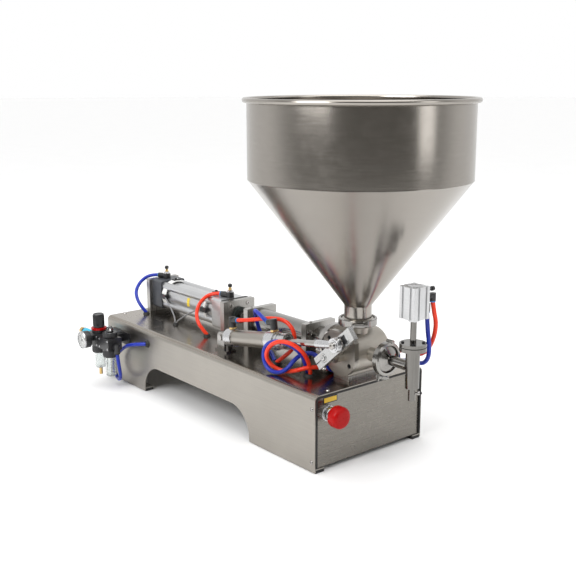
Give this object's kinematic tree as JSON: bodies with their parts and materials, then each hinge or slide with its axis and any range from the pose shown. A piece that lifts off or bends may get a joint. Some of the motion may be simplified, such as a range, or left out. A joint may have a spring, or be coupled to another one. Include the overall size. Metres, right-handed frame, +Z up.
{
  "type": "piston_filling_machine",
  "caption": "Pneumatic piston liquid filler on a stainless base, with conical hopper, rotary valve and lever, product cylinder, air unit and upright shut-off nozzle.",
  "frame": {"origin": "on the bench under the centre of the sheet-metal base", "axes": "+X along the drive line towards the nozzle, +Y away from the lever side, +Z up towards the hopper mouth"},
  "size_m": [0.95, 0.436, 0.654],
  "materials": {
    "stainless_sheet": "satin, fine brushed",
    "polished_steel": "polished",
    "silver_aluminium": "clear anodised",
    "black_plastic": "moulded, satin",
    "black_rubber": "matt",
    "red_plastic": "moulded, gloss",
    "yellow_plate": "printed, gloss",
    "brass_fitting": "turned",
    "clear_bowl": "clear moulded",
    "red_hose": "extruded",
    "blue_hose": "extruded",
    "grey_lead": "extruded",
    "blue_sleeve": "anodised, satin"
  },
  "bodies": {
    "frame": {"base_shell": "stainless_sheet", "front_panel": "stainless_sheet", "rear_panel": "stainless_sheet", "rubber_trim": "black_rubber", "feet": "black_rubber", "warning_plate": "yellow_plate", "machine_screws": "polished_steel", "estop_housing": "silver_aluminium", "support_plates": "stainless_sheet", "air_rear_cap": "black_plastic", "air_barrel": "silver_aluminium", "air_front_cap": "silver_aluminium", "gaskets": "black_rubber", "air_fittings": "black_plastic", "reed_sensors": "black_plastic", "product_cylinder": "polished_steel", "cylinder_clamp": "polished_steel", "valve_foot": "stainless_sheet", "valve_body": "stainless_sheet", "valve_cover": "polished_steel", "clevis_bracket": "stainless_sheet", "clevis_pin": "polished_steel", "hopper": "stainless_sheet", "pipe_clamps": "polished_steel", "outlet_pipe": "polished_steel", "nozzle_body": "polished_steel", "nozzle_stem": "polished_steel", "nozzle_cylinder": "silver_aluminium", "frl_bodies": "black_plastic", "frl_bowls": "clear_bowl", "frl_gauge": "black_plastic", "frl_fittings": "brass_fitting", "hose_air_rear": "blue_hose", "hose_air_front": "red_hose", "hose_mini_rear": "red_hose", "hose_mini_front": "blue_hose", "hose_nozzle_top": "red_hose", "hose_nozzle_bottom": "blue_hose", "hose_supply": "blue_hose", "sensor_lead_rear": "grey_lead", "sensor_lead_front": "grey_lead"},
    "ram": {"pistons": "silver_aluminium", "piston_seals": "black_rubber", "main_rod": "polished_steel"},
    "valve_lever": {"valve_rotor": "polished_steel", "lever": "stainless_sheet", "lever_screw": "polished_steel"},
    "mini_cylinder": {"mini_barrel": "stainless_sheet", "mini_caps": "silver_aluminium", "mini_elbows": "black_plastic"},
    "mini_piston_rod": {"mini_rod": "polished_steel", "rod_end": "silver_aluminium", "rod_end_bolt": "polished_steel"},
    "nozzle_plunger_body": {"nozzle_plunger": "polished_steel"},
    "estop_plunger": {"estop_stem": "silver_aluminium"},
    "estop_button": {"estop_head": "red_plastic"},
    "rear_needle": {"rear_flow_knob": "polished_steel"},
    "front_needle": {"front_flow_knob": "polished_steel"},
    "pressure_knob": {"regulator_knob": "black_plastic"},
    "shutoff_sleeve": {"slide_sleeve": "blue_sleeve"}
  },
  "joints": [
    {"name": "ram_stroke", "type": "slide", "parent": "frame", "child": "ram", "axis": [1, 0, 0], "range_m": [-0.15, 0]},
    {"name": "lever_swing", "type": "hinge", "parent": "frame", "child": "valve_lever", "pos_m": [0.33, -0.079, 0.196], "axis": [0, -1, 0], "range_deg": [0, 90]},
    {"name": "mini_swing", "type": "hinge", "parent": "frame", "child": "mini_cylinder", "pos_m": [0.039, -0.093, 0.174], "axis": [0, -1, 0], "range_deg": [0, 3.9]},
    {"name": "mini_stroke", "type": "slide", "parent": "mini_cylinder", "child": "mini_piston_rod", "axis": [0.9856, 0, 0.169], "range_m": [-0.0725, 0]},
    {"name": "plunger_lift", "type": "slide", "parent": "frame", "child": "nozzle_plunger_body", "axis": [0, 0, 1], "range_m": [0, 0.015]},
    {"name": "estop_press", "type": "slide", "parent": "frame", "child": "estop_plunger", "axis": [-1, 0, 0], "range_m": [0, 0.005]},
    {"name": "estop_twist", "type": "hinge", "parent": "estop_plunger", "child": "estop_button", "pos_m": [0.398, -0.106, 0.108], "axis": [1, 0, 0], "range_deg": [0, 45], "stiffness_Nm_per_rad": 0.02},
    {"name": "rear_needle_turn", "type": "hinge", "parent": "frame", "child": "rear_needle", "pos_m": [-0.322, 0, 0.245], "axis": [0, 0, 1], "continuous": true},
    {"name": "front_needle_turn", "type": "hinge", "parent": "frame", "child": "front_needle", "pos_m": [-0.068, 0, 0.245], "axis": [0, 0, 1], "continuous": true},
    {"name": "pressure_knob_turn", "type": "hinge", "parent": "frame", "child": "pressure_knob", "pos_m": [-0.328, -0.182, 0.148], "axis": [0, 0, 1], "continuous": true},
    {"name": "sleeve_slide", "type": "slide", "parent": "frame", "child": "shutoff_sleeve", "axis": [1, 0, 0], "range_m": [0, 0.01]}
  ],
  "couplings": [
    {"joint": "mini_swing", "follows": "lever_swing", "ratio": 0.043},
    {"joint": "mini_stroke", "follows": "lever_swing", "m_per_rad": -0.04597}
  ]
}
